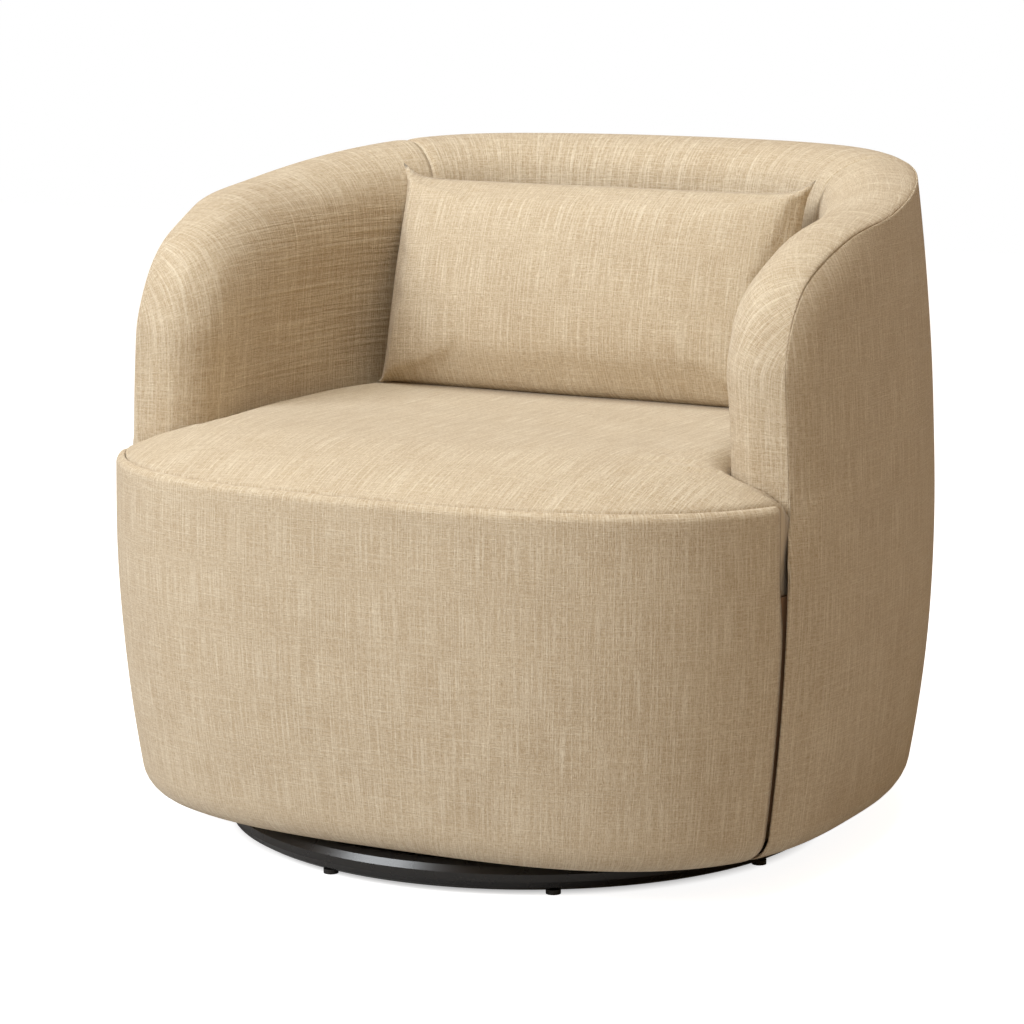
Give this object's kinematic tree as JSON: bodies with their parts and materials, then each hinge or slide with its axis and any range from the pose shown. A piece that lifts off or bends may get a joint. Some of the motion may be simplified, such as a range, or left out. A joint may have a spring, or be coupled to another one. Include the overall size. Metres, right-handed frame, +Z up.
{
  "type": "swivel barrel chair",
  "caption": "Round-backed upholstered swivel chair with a low barrel arm, a tight crowned seat, a loose lumbar pillow and a low round tube base.",
  "frame": {"origin": "on the floor, under the middle of the chair's outline seen from above", "axes": "+Z up, -Y the way the seat faces, +X to the sitter's left"},
  "size_m": [0.8636, 0.8306, 0.7366],
  "materials": {
    "fabric": "matte",
    "foam": "matte",
    "felt_grey": "matte",
    "dust_cloth": "matte",
    "hardboard": "matte",
    "frame_wood": "matte",
    "spring_wire": "satin",
    "base_black": "gloss",
    "bearing_steel": "satin",
    "glide_plastic": "satin"
  },
  "bodies": {
    "base": {"base_ring": "base_black", "cross_bar_long": "base_black", "cross_bar_front": "base_black", "cross_bar_back": "base_black", "floor_glides": "glide_plastic", "lower_swivel_plate": "bearing_steel", "swivel_pin": "bearing_steel"},
    "cage": {"ball_cage": "bearing_steel", "bearing_balls": "bearing_steel"},
    "chair": {"upper_swivel_plate": "bearing_steel", "plate_bolts": "bearing_steel", "base_panel": "frame_wood", "seat_board_ring": "frame_wood", "arm_board_left": "frame_wood", "arm_board_right": "frame_wood", "arm_cap_left": "frame_wood", "arm_cap_right": "frame_wood", "back_rail": "frame_wood", "spring_clips": "bearing_steel", "spring_felt": "felt_grey", "front_liner": "hardboard", "outer_liner": "hardboard", "seat_foam": "foam", "seat_cover": "fabric", "front_cover": "fabric", "outside_cover": "fabric", "arm_pad_left": "fabric", "arm_pad_right": "fabric", "back_pad": "fabric", "dust_cover": "dust_cloth", "lower_post_1": "frame_wood", "lower_post_2": "frame_wood", "lower_post_3": "frame_wood", "lower_post_4": "frame_wood", "lower_post_5": "frame_wood", "lower_post_6": "frame_wood", "lower_post_7": "frame_wood", "lower_post_8": "frame_wood", "back_post_1": "frame_wood", "back_post_2": "frame_wood", "back_post_3": "frame_wood", "back_post_4": "frame_wood", "back_post_5": "frame_wood", "seat_spring_1": "spring_wire", "seat_spring_2": "spring_wire", "seat_spring_3": "spring_wire", "seat_spring_4": "spring_wire"},
    "pillow": {"lumbar_pillow": "fabric"}
  },
  "joints": [
    {"name": "swivel", "type": "hinge", "parent": "base", "child": "chair", "pos_m": [0, -0.0382, 0], "axis": [0, 0, 1], "continuous": true},
    {"name": "cage_turn", "type": "hinge", "parent": "base", "child": "cage", "pos_m": [0, -0.0382, 0], "axis": [0, 0, 1], "continuous": true},
    {"name": "pillow_lift", "type": "slide", "parent": "chair", "child": "pillow", "axis": [0, 0, 1], "range_m": [0, 0.35]}
  ],
  "couplings": [
    {"joint": "cage_turn", "follows": "swivel", "ratio": 0.5}
  ]
}
